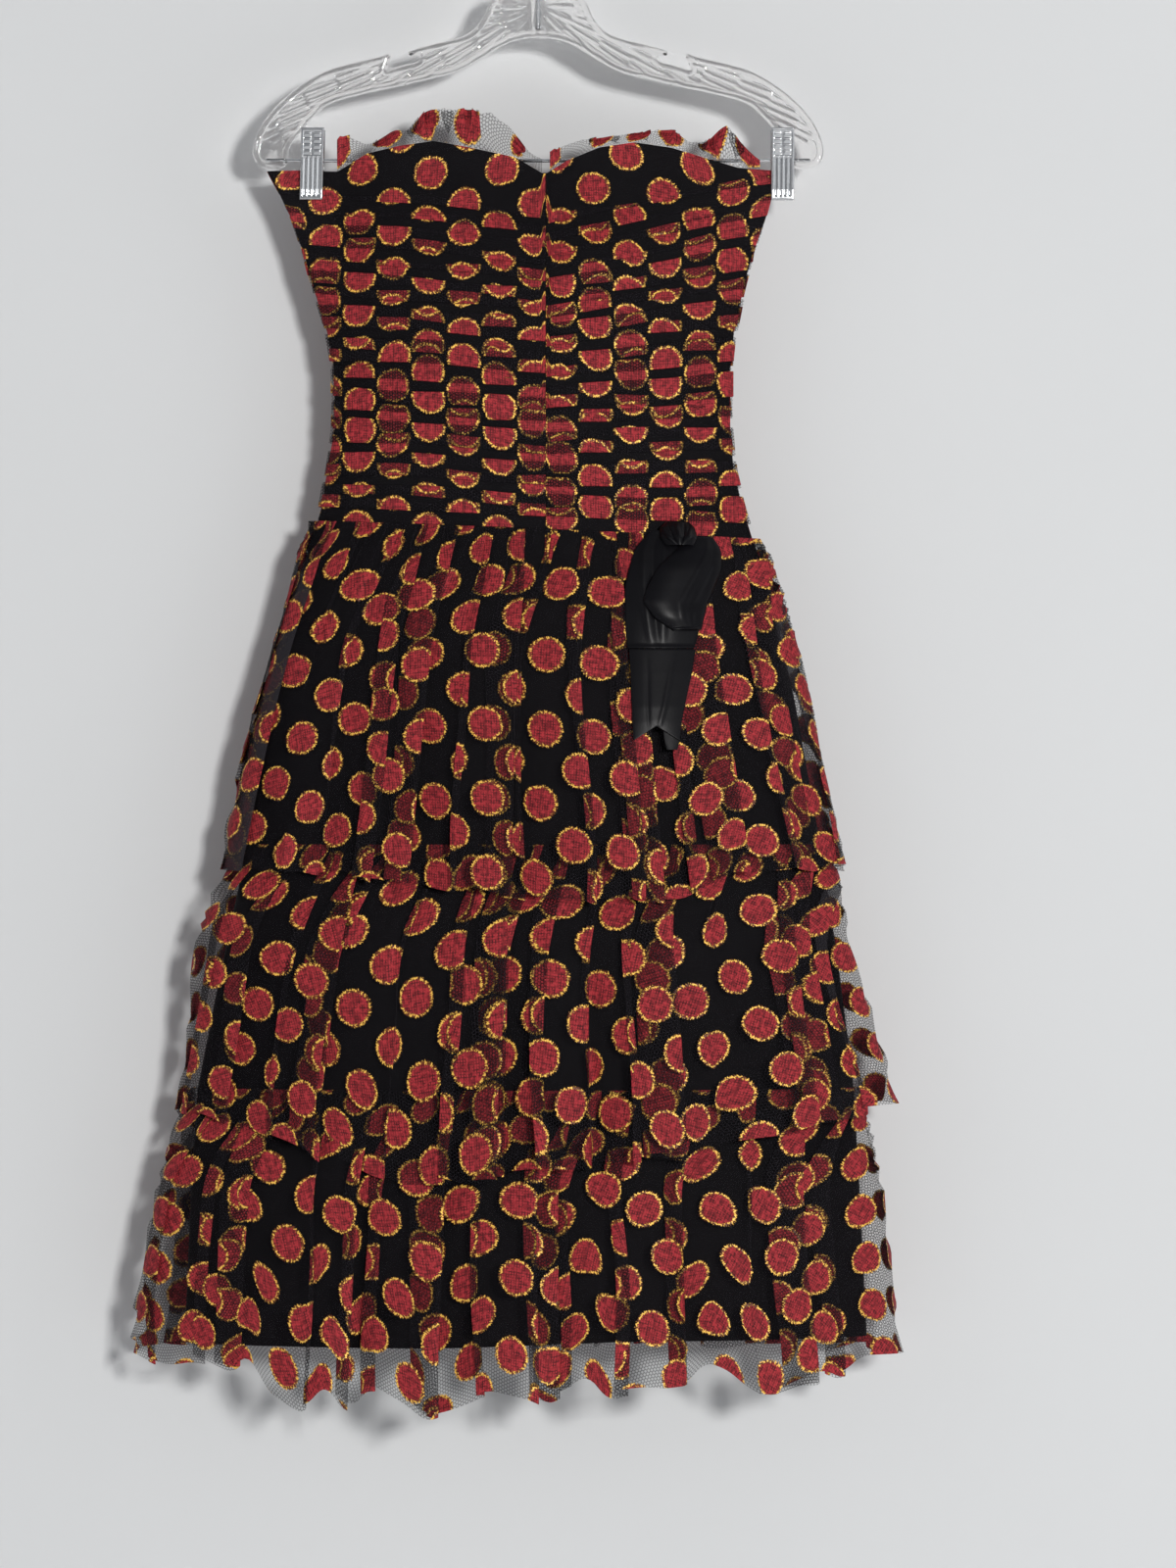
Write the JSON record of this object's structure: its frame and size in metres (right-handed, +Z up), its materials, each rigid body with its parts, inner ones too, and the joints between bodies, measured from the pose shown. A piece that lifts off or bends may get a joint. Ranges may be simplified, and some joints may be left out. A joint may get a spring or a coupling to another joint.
{
  "type": "strapless party dress on a clip hanger",
  "caption": "Strapless party dress of dotted net over black lining, with a gathered bodice, tiered flounces and a satin flower, hanging by clips from a clear hanger.",
  "frame": {"origin": "top of the inside of the hook, where the rail carries it", "axes": "+Z up, -Y out of the dress's front, +X to the right of someone facing the front"},
  "size_m": [0.593, 0.1829, 1.1274],
  "materials": {
    "dotted_net": "black net with woven red dots edged in gold thread",
    "black_lining": "plain weave lining",
    "black_satin": "satin",
    "clear_plastic": "clear, cut pattern",
    "bright_steel": "bright plated",
    "zip_nylon": "black coil",
    "zip_metal": "black enamel"
  },
  "bodies": {
    "dress": {"bodice_front_left": "dotted_net", "bodice_front_right": "dotted_net", "bodice_back_left": "dotted_net", "bodice_back_right": "dotted_net", "frill_left": "dotted_net", "frill_right": "dotted_net", "tier_top": "dotted_net", "tier_middle": "dotted_net", "tier_bottom": "dotted_net", "lining": "black_lining", "flower_knot": "black_satin", "flower_petal_under": "black_satin", "flower_petal_over": "black_satin", "flower_tail_front": "black_satin", "flower_tail_back": "black_satin", "hanger_body": "clear_plastic", "hook": "bright_steel", "bar": "bright_steel", "clip_left_front": "bright_steel", "clip_left_back": "bright_steel", "clip_left_sleeve": "bright_steel", "clip_right_front": "bright_steel", "clip_right_back": "bright_steel", "clip_right_sleeve": "bright_steel", "zip_teeth": "zip_nylon", "zip_slider": "zip_metal"},
    "zip_pull": {"zip_pull_tab": "zip_metal"}
  },
  "joints": [
    {"name": "zip_pull_hinge", "type": "hinge", "parent": "dress", "child": "zip_pull", "pos_m": [-0.004, 0.01462, -0.2092], "axis": [1, 0, 0], "range_deg": [0, 150]}
  ]
}
